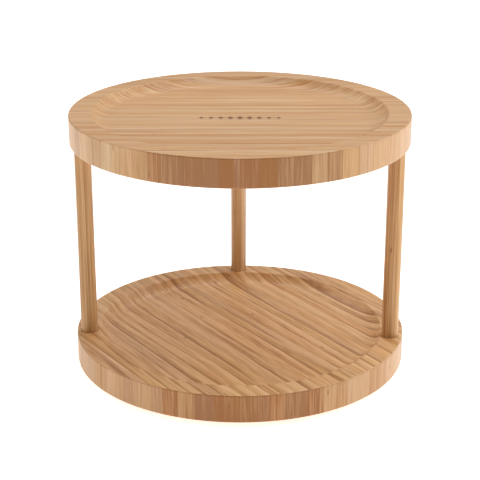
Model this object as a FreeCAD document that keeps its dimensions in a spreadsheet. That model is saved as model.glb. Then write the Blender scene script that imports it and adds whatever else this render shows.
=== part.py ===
"""Two-tier lazy susan turntable, as a parametric FreeCAD document. Millimetres, +Z up.

Two round bamboo trays with dished tops stand on three posts and turn together on a ball
race. The race and its base ring sit in a recess under the lower tray, on rubber feet. The
origin is on the spin axis, on the surface that the feet stand on. Each sub-part is an
object of the document, and its sizes are bound to the cells of the sheet named Sizes.
"""

import FreeCAD, Part

import math
import os

import Sketcher

OUT_FOLDER = "parts"

# Driving dimensions: alias, value in millimetres, degrees or pieces, meaning.
SIZES = (
    ("tray_radius", 127.0, "outer radius of both trays"),
    ("tray_thickness", 21.2, "thickness of a tray at its rim"),
    ("tray_edge_round", 1.2, "rounding of a tray's outer edges"),
    ("rim_width", 16.6, "flat rim around the dish, up to its sharp corner"),
    ("dish_depth", 6.35, "depth of the dish below the rim"),
    ("dish_cove_radius", 14.5, "hollow curve between the dish floor and the rim"),
    ("dish_lip_round", 2.5, "rounding where the cove meets the rim"),
    ("tray_gap", 4.0, "gap between the table and the lower tray"),
    ("post_radius", 6.35, "radius of a post"),
    ("post_reach", 151.6, "clear height between the two trays"),
    ("post_inset", 9.5, "distance of a post's axis from the tray's edge"),
    ("post_end_chamfer", 0.6, "chamfer on both ends of a post"),
    ("post_angle_back", 90.6, "place of the back post around the spin axis"),
    ("post_angle_left", 186.0, "place of the left post around the spin axis"),
    ("post_angle_right", 349.0, "place of the right post around the spin axis"),
    ("socket_depth", 3.0, "depth of the socket that holds a post's end"),
    ("socket_clearance", 0.1, "radial gap between a post and its socket"),
    ("screw_fit", 0.05, "radial gap between a thread and the hole that holds it"),
    ("screw_clearance", 0.2, "radial gap between a screw and the hole it passes"),
    ("pilot_end", 0.8, "free depth past the end of a screw"),
    ("post_screw_radius", 2.0, "countersunk wood screw under each post"),
    ("post_screw_head", 4.0, "head radius of the post screw"),
    ("post_screw_length", 45.0, "length of the post screw"),
    ("post_screw_plain", 18.0, "smooth length of the post screw, head included"),
    ("post_screw_pitch", 1.8, "thread pitch of the post screw"),
    ("post_screw_point", 3.5, "length of the post screw's point"),
    ("point_radius", 0.25, "radius of the flat at the tip of a wood screw"),
    ("stud_radius", 2.5, "hanger bolt in the top of each post"),
    ("stud_point", 3.5, "length of the hanger bolt's point"),
    ("stud_neck", 1.25, "smooth length at each side of the hanger bolt's middle"),
    ("stud_chamfer", 0.4, "chamfer at the top of the hanger bolt"),
    ("stud_wood_length", 24.0, "part of the hanger bolt in the post"),
    ("stud_nut_length", 10.0, "part of the hanger bolt in the insert nut"),
    ("stud_wood_pitch", 2.0, "pitch of the hanger bolt's wood thread"),
    ("stud_nut_pitch", 0.8, "pitch of the hanger bolt's machine thread"),
    ("insert_radius", 4.0, "outer radius of the threaded insert nut"),
    ("insert_length", 12.0, "length of the threaded insert nut"),
    ("insert_pitch", 2.0, "pitch of the insert's outer thread"),
    ("insert_collar", 1.2, "smooth length at the lower end of the insert"),
    ("base_margin", 18.5, "width of the base ring outside the outer race"),
    ("base_setback", 0.5, "gap in plan between the base ring and the inner race"),
    ("base_thickness", 4.5, "thickness of the base ring"),
    ("base_edge_round", 0.8, "rounding of the base ring's edges"),
    ("base_play", 3.5, "radial gap between the base ring and the tray's recess"),
    ("foot_radius", 6.0, "radius of a rubber foot"),
    ("foot_height", 2.5, "height of a rubber foot"),
    ("foot_recess", 0.5, "depth of a foot's seat in the base ring"),
    ("foot_round", 0.8, "rounding of a foot's lower edge"),
    ("foot_margin", 2.5, "distance of a foot from the base ring's edge"),
    ("foot_count", 6, "rubber feet under the base ring"),
    ("race_pitch_radius", 52.0, "radius of the circle of ball centres"),
    ("race_gap", 2.0, "radial gap between the two races"),
    ("race_width", 11.0, "radial width of each race"),
    ("race_height", 5.6, "height of each race"),
    ("race_chamfer", 0.4, "chamfer on the corners of the races"),
    ("race_stagger", 0.4, "height of the inner race above the outer race"),
    ("ball_radius", 1.5875, "radius of a steel ball"),
    ("ball_count", 30, "steel balls in the race"),
    ("ball_clearance", 0.05, "gap between a ball and its grooves"),
    ("cage_width", 1.2, "radial width of the ball cage"),
    ("cage_height", 4.4, "height of the ball cage"),
    ("cage_clearance", 0.1, "gap between a ball and its pocket in the cage"),
    ("plug_margin", 0.2, "radius of the filling hole's set screw over a ball's"),
    ("plug_recess", 0.4, "depth of the set screw below the outer race's side"),
    ("plug_slot_depth", 1.4, "depth of the slot in the set screw"),
    ("plug_slot_width", 0.7, "width of the slot in the set screw"),
    ("race_screw_count", 6, "screws in each of the two races"),
    ("tray_screw_radius", 1.75, "wood screw from the inner race into the tray"),
    ("tray_screw_head", 3.4, "head radius of the tray screw"),
    ("tray_screw_cover", 1.5, "wood left between a tray screw and the dish"),
    ("tray_screw_pitch", 1.3, "thread pitch of the tray screw"),
    ("tray_screw_point", 1.6, "length of the tray screw's point"),
    ("base_screw_radius", 2.0, "machine screw from the base ring into the outer race"),
    ("base_screw_head", 3.8, "head radius of the base screw"),
    ("base_screw_bite", 4.0, "length of the base screw inside the outer race"),
    ("base_screw_pitch", 0.7, "thread pitch of the base screw"),
    ("base_screw_point", 0.4, "chamfer at the end of the base screw"),
    ("base_screw_angle", 30.0, "place of the first base screw around the spin axis"),
    ("drive_length", 3.6, "length of one slot of the cross recess in a screw head"),
    ("drive_width", 0.9, "width of one slot of the cross recess"),
    ("drive_depth", 1.2, "depth of the cross recess"),
    ("thread_share", 0.8, "part of a thread's pitch that its groove takes"),
    ("thread_depth_share", 0.36, "depth of a thread's groove over its pitch"),
)

POSTS = ("back", "left", "right")

# Levels and radii that follow from the driving dimensions, as sheet expressions.
BASE_UNDERSIDE = "(Sizes.foot_height - Sizes.foot_recess)"
BASE_TOP = f"({BASE_UNDERSIDE} + Sizes.base_thickness)"
INNER_RACE_UNDERSIDE = f"({BASE_TOP} + Sizes.race_stagger)"
RECESS_CEILING = f"({INNER_RACE_UNDERSIDE} + Sizes.race_height)"
RECESS_DEPTH = f"({RECESS_CEILING} - Sizes.tray_gap)"
BALL_LEVEL = f"({BASE_TOP} + (Sizes.race_height + Sizes.race_stagger) / 2)"
LOWER_TRAY_TOP = "(Sizes.tray_gap + Sizes.tray_thickness)"
UPPER_TRAY_UNDERSIDE = f"({LOWER_TRAY_TOP} + Sizes.post_reach)"
POST_BOTTOM = f"({LOWER_TRAY_TOP} - Sizes.socket_depth)"
POST_TOP = f"({UPPER_TRAY_UNDERSIDE} + Sizes.socket_depth)"
POST_LENGTH = "(Sizes.post_reach + 2 * Sizes.socket_depth)"
POST_CIRCLE = "(Sizes.tray_radius - Sizes.post_inset)"
SOCKET_RADIUS = "(Sizes.post_radius + Sizes.socket_clearance)"
DISH_CORNER_RADIUS = "(Sizes.tray_radius - Sizes.rim_width)"
DISH_FLOOR = "(Sizes.tray_thickness - Sizes.dish_depth)"
INSERT_BORE_DEPTH = "(Sizes.socket_depth + Sizes.insert_length + Sizes.pilot_end)"
GROOVE_RADIUS = "(Sizes.ball_radius + Sizes.ball_clearance)"
OUTER_RACE_BORE = "(Sizes.race_pitch_radius + Sizes.race_gap / 2)"
OUTER_RACE_RADIUS = f"({OUTER_RACE_BORE} + Sizes.race_width)"
INNER_RACE_RADIUS = "(Sizes.race_pitch_radius - Sizes.race_gap / 2)"
INNER_RACE_BORE = f"({INNER_RACE_RADIUS} - Sizes.race_width)"
BASE_RADIUS = f"({OUTER_RACE_RADIUS} + Sizes.base_margin)"
BASE_BORE_RADIUS = f"({INNER_RACE_RADIUS} + Sizes.base_setback)"
RECESS_RADIUS = f"({BASE_RADIUS} + Sizes.base_play)"
FOOT_CIRCLE = f"({BASE_RADIUS} - Sizes.foot_margin - Sizes.foot_radius)"
PLUG_RADIUS = "(Sizes.ball_radius + Sizes.plug_margin)"
BASE_SCREW_CIRCLE = f"({OUTER_RACE_BORE} + Sizes.race_width / 2)"
TRAY_SCREW_CIRCLE = f"({INNER_RACE_BORE} + Sizes.race_width / 2)"
BASE_SCREW_LENGTH = "(Sizes.base_thickness + Sizes.base_screw_bite)"
TRAY_SCREW_BITE = f"({DISH_FLOOR} - {RECESS_DEPTH} - Sizes.tray_screw_cover)"
TRAY_SCREW_LENGTH = f"(Sizes.race_height + {TRAY_SCREW_BITE})"
POST_SCREW_BITE = "(Sizes.post_screw_length - Sizes.tray_thickness + Sizes.socket_depth)"

document = FreeCAD.newDocument("lazy_susan")


# ---------------------------------------------------------------- sheet and sketches


def add_sheet():
    """The sheet Sizes, with one aliased cell for each driving dimension."""
    sheet = document.addObject("Spreadsheet::Sheet", "Sizes")
    for row, (alias, value, meaning) in enumerate(SIZES, start=1):
        sheet.set(f"A{row}", meaning)
        sheet.set(f"B{row}", str(value))
        sheet.setAlias(f"B{row}", alias)
    document.recompute()
    return sheet


def value_of(expression):
    """The number that an expression over the sheet has now."""
    return float(sheet.evalExpression(str(expression)))


def add_body(label, **place):
    """An empty body. place binds x, y, z (expressions) and turn (degrees about Z)."""
    body = document.addObject("PartDesign::Body", label)
    body.Label = label
    bind_place(body, **place)
    return body


def bind_place(piece, x="0", y="0", z="0", turn="0"):
    """Binds an object's Placement to expressions."""
    piece.setExpression("Placement.Base.x", x)
    piece.setExpression("Placement.Base.y", y)
    piece.setExpression("Placement.Base.z", z)
    piece.setExpression("Placement.Rotation.Angle", turn)


def around(radius, angle):
    """x and y expressions of a point on a circle about the spin axis."""
    return {"x": f"{radius} * cos({angle})", "y": f"{radius} * sin({angle})"}


def origin_part(body, role):
    """One of a body's origin planes or axes, such as XY_Plane or Z_Axis."""
    return next(part for part in body.Origin.OriginFeatures if part.Role == role)


def add_sketch(body, name, plane="XY_Plane", x="0", y="0", height="0"):
    """A sketch on an origin plane, moved in the plane by x and y and off it by height."""
    sketch = body.newObject("Sketcher::SketchObject", name)
    sketch.AttachmentSupport = [(origin_part(body, plane), "")]
    sketch.MapMode = "FlatFace"
    sketch.setExpression("AttachmentOffset.Base.x", x)
    sketch.setExpression("AttachmentOffset.Base.y", y)
    sketch.setExpression("AttachmentOffset.Base.z", height)
    return sketch


def dimension(sketch, kind, *references, size):
    """A sketch constraint of the given kind, bound to the expression size."""
    index = sketch.addConstraint(Sketcher.Constraint(kind, *references, value_of(size)))
    sketch.setExpression(f"Constraints[{index}]", size)


def place_point(sketch, edge, point, x, y):
    """Ties a sketch point to the coordinates x and y, each an expression or 0."""
    for kind, axis, size in (("DistanceX", -2, x), ("DistanceY", -1, y)):
        if size == "0":
            sketch.addConstraint(Sketcher.Constraint("PointOnObject", edge, point, axis))
        else:
            dimension(sketch, kind, -1, 1, edge, point, size=size)


def draw_circle(sketch, radius, x="0", y="0"):
    """A circle in a sketch."""
    middle = FreeCAD.Vector(value_of(x), value_of(y), 0)
    circle = Part.Circle(middle, FreeCAD.Vector(0, 0, 1), value_of(radius))
    edge = sketch.addGeometry(circle, False)
    place_point(sketch, edge, 3, x, y)
    dimension(sketch, "Radius", edge, size=radius)


def draw_outline(sketch, corners):
    """A closed outline of straight lines through corners, each an (x, y) pair."""
    points = [FreeCAD.Vector(value_of(x), value_of(y), 0) for x, y in corners]
    first = len(sketch.Geometry)
    count = len(points)
    for i in range(count):
        sketch.addGeometry(Part.LineSegment(points[i], points[(i + 1) % count]), False)
    for i in range(count):
        joint = (first + i, 2, first + (i + 1) % count, 1)
        sketch.addConstraint(Sketcher.Constraint("Coincident", *joint))
    for i, (x, y) in enumerate(corners):
        place_point(sketch, first + i, 1, x, y)


# ---------------------------------------------------------------- features


def settle(body, feature, removes):
    """Makes feature the body's tip, and checks that it adds or removes material."""
    before = body.Shape.Volume if body.Shape and not body.Shape.isNull() else 0.0
    body.Tip = feature
    document.recompute()
    change = body.Shape.Volume - before
    if (removes and change >= 0) or (not removes and change <= 0):
        raise RuntimeError(f"{body.Label}: {feature.Name} changed the volume by {change}")
    return feature


def revolve(body, sketch, name, removes=False):
    """Turns a sketch about its vertical axis, adding material or removing it."""
    kind = "PartDesign::Groove" if removes else "PartDesign::Revolution"
    feature = body.newObject(kind, name)
    feature.Profile = sketch
    feature.ReferenceAxis = (sketch, ["V_Axis"])
    feature.Angle = 360
    return settle(body, feature, removes)


def pad(body, sketch, name, length):
    """Extrudes a sketch along its normal."""
    feature = body.newObject("PartDesign::Pad", name)
    feature.Profile = sketch
    feature.setExpression("Length", length)
    return settle(body, feature, removes=False)


def pocket(body, sketch, name, depth, upwards=True):
    """Cuts a sketch's outline to a depth, along the sketch's normal or against it."""
    feature = body.newObject("PartDesign::Pocket", name)
    feature.Profile = sketch
    feature.Reversed = upwards
    feature.setExpression("Length", depth)
    return settle(body, feature, removes=True)


def sunk_hole(body, sketch, name, screw, depth):
    """A clearance hole for a countersunk screw, from the sketch plane upwards."""
    document.recompute()
    feature = body.newObject("PartDesign::Hole", name)
    feature.Profile = sketch
    feature.Reversed = True
    feature.DepthType = "Dimension"
    feature.DrillPoint = "Flat"
    feature.setExpression("Depth", depth)
    feature.setExpression("Diameter", f"2 * (Sizes.{screw}_radius + Sizes.screw_clearance)")
    feature.HoleCutType = "Countersink"
    feature.HoleCutCustomValues = True
    feature.HoleCutCountersinkAngle = 90
    opening = f"2 * (Sizes.{screw}_head + Sizes.screw_clearance)"
    feature.setExpression("HoleCutDiameter", opening)
    return settle(body, feature, removes=True)


def repeat_around(body, feature, name, count, angle=360.0):
    """Repeats a cut around the body's Z axis; count is an expression."""
    pattern = body.newObject("PartDesign::PolarPattern", name)
    pattern.Originals = [feature]
    pattern.Axis = (origin_part(body, "Z_Axis"), [""])
    pattern.Angle = angle
    pattern.setExpression("Occurrences", count)
    return settle(body, pattern, removes=True)


def repeat_up(body, feature, name, count, spacing):
    """Repeats a cut count times along the body's Z axis."""
    pattern = body.newObject("PartDesign::LinearPattern", name)
    pattern.Originals = [feature]
    pattern.Direction = (origin_part(body, "Z_Axis"), [""])
    pattern.setExpression("Length", f"{count - 1} * {spacing}")
    pattern.Occurrences = count
    return settle(body, pattern, removes=True)


def round_edges(body, name, radius, *circles, chamfer=False):
    """Rounds or chamfers the circular edges found at each (radius, z) of circles."""
    kind = "PartDesign::Chamfer" if chamfer else "PartDesign::Fillet"
    names = [circle_edge(body.Tip.Shape, *circle) for circle in circles]
    before = body.Tip
    feature = body.newObject(kind, name)
    feature.Base = (before, names)
    feature.setExpression("Size" if chamfer else "Radius", radius)
    return settle(body, feature, removes=True)


def circle_edge(shape, radius, level):
    """The name of the circular edge about Z of that radius at that level."""
    wanted_radius, wanted_level = value_of(radius), value_of(level)
    for number, edge in enumerate(shape.Edges, start=1):
        curve = edge.Curve
        if (
            isinstance(curve, Part.Circle)
            and abs(curve.Radius - wanted_radius) < 1e-4
            and abs(curve.Center.z - wanted_level) < 1e-4
            and math.hypot(curve.Center.x, curve.Center.y) < 1e-4
        ):
            return f"Edge{number}"
    raise RuntimeError(f"no circular edge of radius {radius} at {level}")


def cut_thread(body, name, radius, start, length, pitch):
    """Cuts ring grooves of thread form into a shank, from start up over length."""
    step = f"min({pitch}; {length})"
    count = max(1, int(value_of(length) / value_of(pitch)))
    sketch = add_sketch(body, f"{name}_form", "XZ_Plane")
    inner = f"{radius} - Sizes.thread_depth_share * {step}"
    outer = f"{radius} + Sizes.screw_fit"
    middle = f"{start} + Sizes.thread_share / 2 * {step}"
    end = f"{start} + Sizes.thread_share * {step}"
    draw_outline(sketch, [(outer, start), (inner, middle), (outer, end)])
    groove = revolve(body, sketch, f"{name}_groove", removes=True)
    if count > 1:
        repeat_up(body, groove, name, count, step)


def cut_slot(body, name, length, width, depth, plane="XY_Plane", height="0", upwards=True):
    """Cuts a straight slot across the body's axis."""
    sketch = add_sketch(body, f"{name}_outline", plane, height=height)
    half_length, half_width = value_of(length) / 2, value_of(width) / 2
    corners = [
        FreeCAD.Vector(x * half_length, y * half_width, 0)
        for x, y in ((-1, -1), (1, -1), (1, 1), (-1, 1))
    ]
    for i in range(4):
        sketch.addGeometry(Part.LineSegment(corners[i], corners[(i + 1) % 4]), False)
    for i in range(4):
        sketch.addConstraint(Sketcher.Constraint("Coincident", i, 2, (i + 1) % 4, 1))
    for i, direction in enumerate(("Horizontal", "Vertical", "Horizontal", "Vertical")):
        sketch.addConstraint(Sketcher.Constraint(direction, i))
    sketch.addConstraint(Sketcher.Constraint("Symmetric", 0, 1, 2, 1, -1, 1))
    dimension(sketch, "DistanceX", 0, 1, 0, 2, size=length)
    dimension(sketch, "DistanceY", 1, 1, 1, 2, size=width)
    return pocket(body, sketch, name, depth, upwards)


# ---------------------------------------------------------------- trays and posts


def add_tray(label, level):
    """A round board with a dished top, without its holes."""
    body = add_body(label, z=level)
    profile = add_sketch(body, f"{label}_profile", "XZ_Plane")
    draw_tray_profile(profile)
    revolve(body, profile, f"{label}_board")
    lip = (DISH_CORNER_RADIUS, "Sizes.tray_thickness")
    round_edges(body, f"{label}_lip", "Sizes.dish_lip_round", lip)
    rims = [("Sizes.tray_radius", "0"), ("Sizes.tray_radius", "Sizes.tray_thickness")]
    round_edges(body, f"{label}_edges", "Sizes.tray_edge_round", *rims)
    return body


def draw_tray_profile(sketch):
    """Half section of a tray: underside, side, rim, cove and dish floor."""
    radius, top = value_of("Sizes.tray_radius"), value_of("Sizes.tray_thickness")
    corner, cove = value_of(DISH_CORNER_RADIUS), value_of("Sizes.dish_cove_radius")
    floor = value_of(DISH_FLOOR)
    fall = math.asin(1 - value_of("Sizes.dish_depth") / cove)
    floor_end = corner - cove * math.cos(fall)
    points = [
        FreeCAD.Vector(x, y, 0)
        for x, y in ((floor_end, floor), (0, floor), (0, 0), (radius, 0), (radius, top), (corner, top))
    ]
    for i in range(5):
        sketch.addGeometry(Part.LineSegment(points[i], points[i + 1]), False)
    middle = FreeCAD.Vector(floor_end, floor + cove, 0)
    circle = Part.Circle(middle, FreeCAD.Vector(0, 0, 1), cove)
    sketch.addGeometry(Part.ArcOfCircle(circle, -math.pi / 2, -fall), False)
    for i in range(4):
        sketch.addConstraint(Sketcher.Constraint("Coincident", i, 2, i + 1, 1))
    sketch.addConstraint(Sketcher.Constraint("Coincident", 4, 2, 5, 2))
    sketch.addConstraint(Sketcher.Constraint("Tangent", 0, 1, 5, 1))
    place_point(sketch, 0, 2, "0", DISH_FLOOR)
    place_point(sketch, 2, 1, "0", "0")
    place_point(sketch, 3, 1, "Sizes.tray_radius", "0")
    place_point(sketch, 4, 1, "Sizes.tray_radius", "Sizes.tray_thickness")
    place_point(sketch, 4, 2, DISH_CORNER_RADIUS, "Sizes.tray_thickness")
    sketch.addConstraint(Sketcher.Constraint("Horizontal", 0))
    dimension(sketch, "Radius", 5, size="Sizes.dish_cove_radius")


def add_upper_tray():
    """The upper tray, with a blind socket and an insert bore above each post."""
    body = add_tray("upper_tray", UPPER_TRAY_UNDERSIDE)
    for post in POSTS:
        place = around(POST_CIRCLE, f"Sizes.post_angle_{post}")
        socket = add_sketch(body, f"upper_socket_{post}_outline", **place)
        draw_circle(socket, SOCKET_RADIUS)
        pocket(body, socket, f"upper_socket_{post}", "Sizes.socket_depth")
        bore = add_sketch(body, f"insert_bore_{post}_outline", **place)
        draw_circle(bore, "Sizes.insert_radius + Sizes.screw_fit")
        pocket(body, bore, f"insert_bore_{post}", INSERT_BORE_DEPTH)
    return body


def add_lower_tray():
    """The lower tray, with the sockets and screw holes of the posts and the race recess."""
    body = add_tray("lower_tray", "Sizes.tray_gap")
    for post in POSTS:
        place = around(POST_CIRCLE, f"Sizes.post_angle_{post}")
        socket = add_sketch(
            body, f"lower_socket_{post}_outline", height="Sizes.tray_thickness", **place
        )
        draw_circle(socket, SOCKET_RADIUS)
        pocket(body, socket, f"lower_socket_{post}", "Sizes.socket_depth", upwards=False)
        hole = add_sketch(body, f"post_hole_{post}_outline", **place)
        draw_circle(hole, "Sizes.post_screw_radius + Sizes.screw_clearance")
        sunk_hole(body, hole, f"post_hole_{post}", "post_screw", "Sizes.tray_thickness")
    recess = add_sketch(body, "recess_outline")
    draw_circle(recess, RECESS_RADIUS)
    pocket(body, recess, "recess", RECESS_DEPTH)
    pilot = add_sketch(body, "tray_screw_pilot_outline", x=TRAY_SCREW_CIRCLE, height=RECESS_DEPTH)
    draw_circle(pilot, "Sizes.tray_screw_radius + Sizes.screw_fit")
    first = pocket(body, pilot, "tray_screw_pilot", f"{TRAY_SCREW_BITE} + 0.5 * Sizes.pilot_end")
    repeat_around(body, first, "tray_screw_pilots", "Sizes.race_screw_count")
    return body


def add_post(name):
    """A round post with a pilot hole in each end."""
    place = around(POST_CIRCLE, f"Sizes.post_angle_{name}")
    body = add_body(f"post_{name}", z=POST_BOTTOM, **place)
    outline = add_sketch(body, f"post_{name}_outline")
    draw_circle(outline, "Sizes.post_radius")
    pad(body, outline, f"post_{name}_shaft", POST_LENGTH)
    ends = [("Sizes.post_radius", "0"), ("Sizes.post_radius", POST_LENGTH)]
    round_edges(body, f"post_{name}_ends", "Sizes.post_end_chamfer", *ends, chamfer=True)
    pilot = add_sketch(body, f"post_{name}_pilot_outline")
    draw_circle(pilot, "Sizes.post_screw_radius + Sizes.screw_fit")
    pocket(body, pilot, f"post_{name}_pilot", f"{POST_SCREW_BITE} + Sizes.pilot_end")
    bore = add_sketch(body, f"post_{name}_bore_outline", height=POST_LENGTH)
    draw_circle(bore, "Sizes.stud_radius + Sizes.screw_fit")
    depth = "Sizes.stud_wood_length + Sizes.pilot_end"
    pocket(body, bore, f"post_{name}_bore", depth, upwards=False)
    return body


# ---------------------------------------------------------------- fasteners


def add_screw(label, screw, length, plain, tip_radius, **place):
    """A countersunk cross-head screw, its head at the bottom and its point upwards."""
    body = add_body(label, **place)
    radius, head, pitch = (f"Sizes.{screw}_{size}" for size in ("radius", "head", "pitch"))
    bite = f"({length} - {plain})"
    point = f"min(Sizes.{screw}_point; {bite} / 2)"
    sketch = add_sketch(body, f"{label}_profile", "XZ_Plane")
    corners = [
        ("0", "0"),
        (head, "0"),
        (radius, f"{head} - {radius}"),
        (radius, f"{length} - {point}"),
        (tip_radius, length),
        ("0", length),
    ]
    draw_outline(sketch, corners)
    revolve(body, sketch, f"{label}_blank")
    cut_thread(body, f"{label}_thread", radius, plain, f"({bite} - {point})", pitch)
    slot = cut_slot(
        body, f"{label}_slot", "Sizes.drive_length", "Sizes.drive_width", "Sizes.drive_depth"
    )
    repeat_around(body, slot, f"{label}_cross", "2", angle=90)
    return body


def add_stud(name):
    """A hanger bolt: a wood thread with a point below, and a machine thread above."""
    place = around(POST_CIRCLE, f"Sizes.post_angle_{name}")
    label = f"post_stud_{name}"
    body = add_body(label, z=f"{POST_TOP} - Sizes.stud_wood_length", **place)
    radius, middle, point = "Sizes.stud_radius", "Sizes.stud_wood_length", "Sizes.stud_point"
    length = f"({middle} + Sizes.stud_nut_length)"
    sketch = add_sketch(body, f"{label}_profile", "XZ_Plane")
    corners = [
        ("0", "0"),
        ("Sizes.point_radius", "0"),
        (radius, point),
        (radius, f"{length} - Sizes.stud_chamfer"),
        (f"{radius} - Sizes.stud_chamfer", length),
        ("0", length),
    ]
    draw_outline(sketch, corners)
    revolve(body, sketch, f"{label}_blank")
    wood_length = f"({middle} - {point} - Sizes.stud_neck)"
    nut_length = "(Sizes.stud_nut_length - Sizes.stud_neck - Sizes.stud_chamfer)"
    nut_start = f"{middle} + Sizes.stud_neck"
    wood_pitch, nut_pitch = "Sizes.stud_wood_pitch", "Sizes.stud_nut_pitch"
    cut_thread(body, f"{label}_wood_thread", radius, point, wood_length, wood_pitch)
    cut_thread(body, f"{label}_nut_thread", radius, nut_start, nut_length, nut_pitch)
    return body


def add_insert(name):
    """A threaded insert nut, pressed into the upper tray above a post."""
    place = around(POST_CIRCLE, f"Sizes.post_angle_{name}")
    label = f"post_insert_{name}"
    body = add_body(label, z=POST_TOP, **place)
    bore = "Sizes.stud_radius + Sizes.screw_fit"
    sketch = add_sketch(body, f"{label}_profile", "XZ_Plane")
    outer, length = "Sizes.insert_radius", "Sizes.insert_length"
    draw_outline(sketch, [(bore, "0"), (outer, "0"), (outer, length), (bore, length)])
    revolve(body, sketch, f"{label}_sleeve")
    threaded = f"({length} - Sizes.insert_collar)"
    pitch = "Sizes.insert_pitch"
    cut_thread(body, f"{label}_thread", outer, "Sizes.insert_collar", threaded, pitch)
    return body


def add_ring_of(label, master, count, radius, first_angle="0"):
    """One sub-part made of equal copies of master on a circle about the spin axis."""
    copies = []
    for i in range(int(value_of(f"Sizes.{count}"))):
        copy = document.addObject("App::Link", f"{label}_{i + 1}")
        copy.LinkedObject = master
        copy.LinkTransform = False
        angle = f"({first_angle} + {i} * 360 / Sizes.{count})"
        bind_place(copy, z=f"{master.Name}.Placement.Base.z", turn=angle, **around(radius, angle))
        copies.append(copy)
    group = document.addObject("Part::Compound", label)
    group.Label = label
    group.Links = copies
    document.recompute()
    return group


# ---------------------------------------------------------------- base and ball race


def add_base_ring():
    """The ring that the turntable stands on, with seats for its feet and screws."""
    body = add_body("base_ring", z=BASE_UNDERSIDE)
    outline = add_sketch(body, "base_ring_outline")
    draw_circle(outline, BASE_RADIUS)
    draw_circle(outline, BASE_BORE_RADIUS)
    pad(body, outline, "base_ring_plate", "Sizes.base_thickness")
    edges = [
        (radius, level)
        for radius in (BASE_RADIUS, BASE_BORE_RADIUS)
        for level in ("0", "Sizes.base_thickness")
    ]
    round_edges(body, "base_ring_edges", "Sizes.base_edge_round", *edges)
    seat = add_sketch(body, "foot_seat_outline", x=FOOT_CIRCLE)
    draw_circle(seat, "Sizes.foot_radius + Sizes.screw_clearance")
    first = pocket(body, seat, "foot_seat", "Sizes.foot_recess")
    repeat_around(body, first, "foot_seats", "Sizes.foot_count")
    hole = add_sketch(
        body, "base_screw_hole_outline", **around(BASE_SCREW_CIRCLE, "Sizes.base_screw_angle")
    )
    draw_circle(hole, "Sizes.base_screw_radius + Sizes.screw_clearance")
    first = sunk_hole(body, hole, "base_screw_hole", "base_screw", "Sizes.base_thickness")
    repeat_around(body, first, "base_screw_holes", "Sizes.race_screw_count")
    return body


def add_foot(number):
    """A rubber foot in its seat under the base ring."""
    label = f"foot_{number}"
    angle = f"({number - 1} * 360 / Sizes.foot_count)"
    body = add_body(label, **around(FOOT_CIRCLE, angle))
    outline = add_sketch(body, f"{label}_outline")
    draw_circle(outline, "Sizes.foot_radius")
    pad(body, outline, f"{label}_pad", "Sizes.foot_height")
    round_edges(body, f"{label}_edge", "Sizes.foot_round", ("Sizes.foot_radius", "0"))
    return body


def add_race_blank(label, level, bore, radius, groove_level):
    """A race ring with chamfered corners and a ball groove around it."""
    body = add_body(label, z=level)
    outline = add_sketch(body, f"{label}_outline")
    draw_circle(outline, radius)
    draw_circle(outline, bore)
    pad(body, outline, f"{label}_ring", "Sizes.race_height")
    corners = [(side, z) for side in (bore, radius) for z in ("0", "Sizes.race_height")]
    round_edges(body, f"{label}_corners", "Sizes.race_chamfer", *corners, chamfer=True)
    section = add_sketch(body, f"{label}_groove_section", "XZ_Plane")
    draw_circle(section, GROOVE_RADIUS, x="Sizes.race_pitch_radius", y=groove_level)
    revolve(body, section, f"{label}_groove", removes=True)
    return body


def add_outer_race():
    """The still race, with tapped holes for the base screws and a ball filling hole."""
    groove_level = "(Sizes.race_height + Sizes.race_stagger) / 2"
    body = add_race_blank("outer_race", BASE_TOP, OUTER_RACE_BORE, OUTER_RACE_RADIUS, groove_level)
    tapped = add_sketch(
        body, "tapped_hole_outline", **around(BASE_SCREW_CIRCLE, "Sizes.base_screw_angle")
    )
    draw_circle(tapped, "Sizes.base_screw_radius + Sizes.screw_fit")
    depth = "Sizes.base_screw_bite + 0.5 * Sizes.pilot_end"
    first = pocket(body, tapped, "tapped_hole", depth)
    repeat_around(body, first, "tapped_holes", "Sizes.race_screw_count")
    filling = add_sketch(body, "filling_hole_outline", "YZ_Plane", height="Sizes.race_pitch_radius")
    draw_circle(filling, f"{PLUG_RADIUS} + Sizes.screw_fit", y=groove_level)
    pocket(body, filling, "filling_hole", "Sizes.race_gap + Sizes.race_width")
    return body


def add_inner_race():
    """The turning race, with countersunk holes for the screws into the lower tray."""
    groove_level = "(Sizes.race_height - Sizes.race_stagger) / 2"
    body = add_race_blank(
        "inner_race", INNER_RACE_UNDERSIDE, INNER_RACE_BORE, INNER_RACE_RADIUS, groove_level
    )
    hole = add_sketch(body, "tray_screw_hole_outline", x=TRAY_SCREW_CIRCLE)
    draw_circle(hole, "Sizes.tray_screw_radius + Sizes.screw_clearance")
    first = sunk_hole(body, hole, "tray_screw_hole", "tray_screw", "Sizes.race_height")
    repeat_around(body, first, "tray_screw_holes", "Sizes.race_screw_count")
    return body


def add_ball_plug():
    """The slotted set screw that closes the ball filling hole of the outer race."""
    body = add_body("ball_plug", z=BALL_LEVEL)
    start = f"(Sizes.race_pitch_radius + {GROOVE_RADIUS} + Sizes.ball_clearance)"
    length = f"({OUTER_RACE_RADIUS} - {start} - Sizes.plug_recess)"
    outline = add_sketch(body, "ball_plug_outline", "YZ_Plane", height=start)
    draw_circle(outline, PLUG_RADIUS)
    pad(body, outline, "ball_plug_shank", length)
    across, width = f"3 * {PLUG_RADIUS}", "Sizes.plug_slot_width"
    depth, end = "Sizes.plug_slot_depth", f"({start} + {length})"
    cut_slot(body, "ball_plug_slot", across, width, depth, "YZ_Plane", end, upwards=False)
    return body


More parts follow.
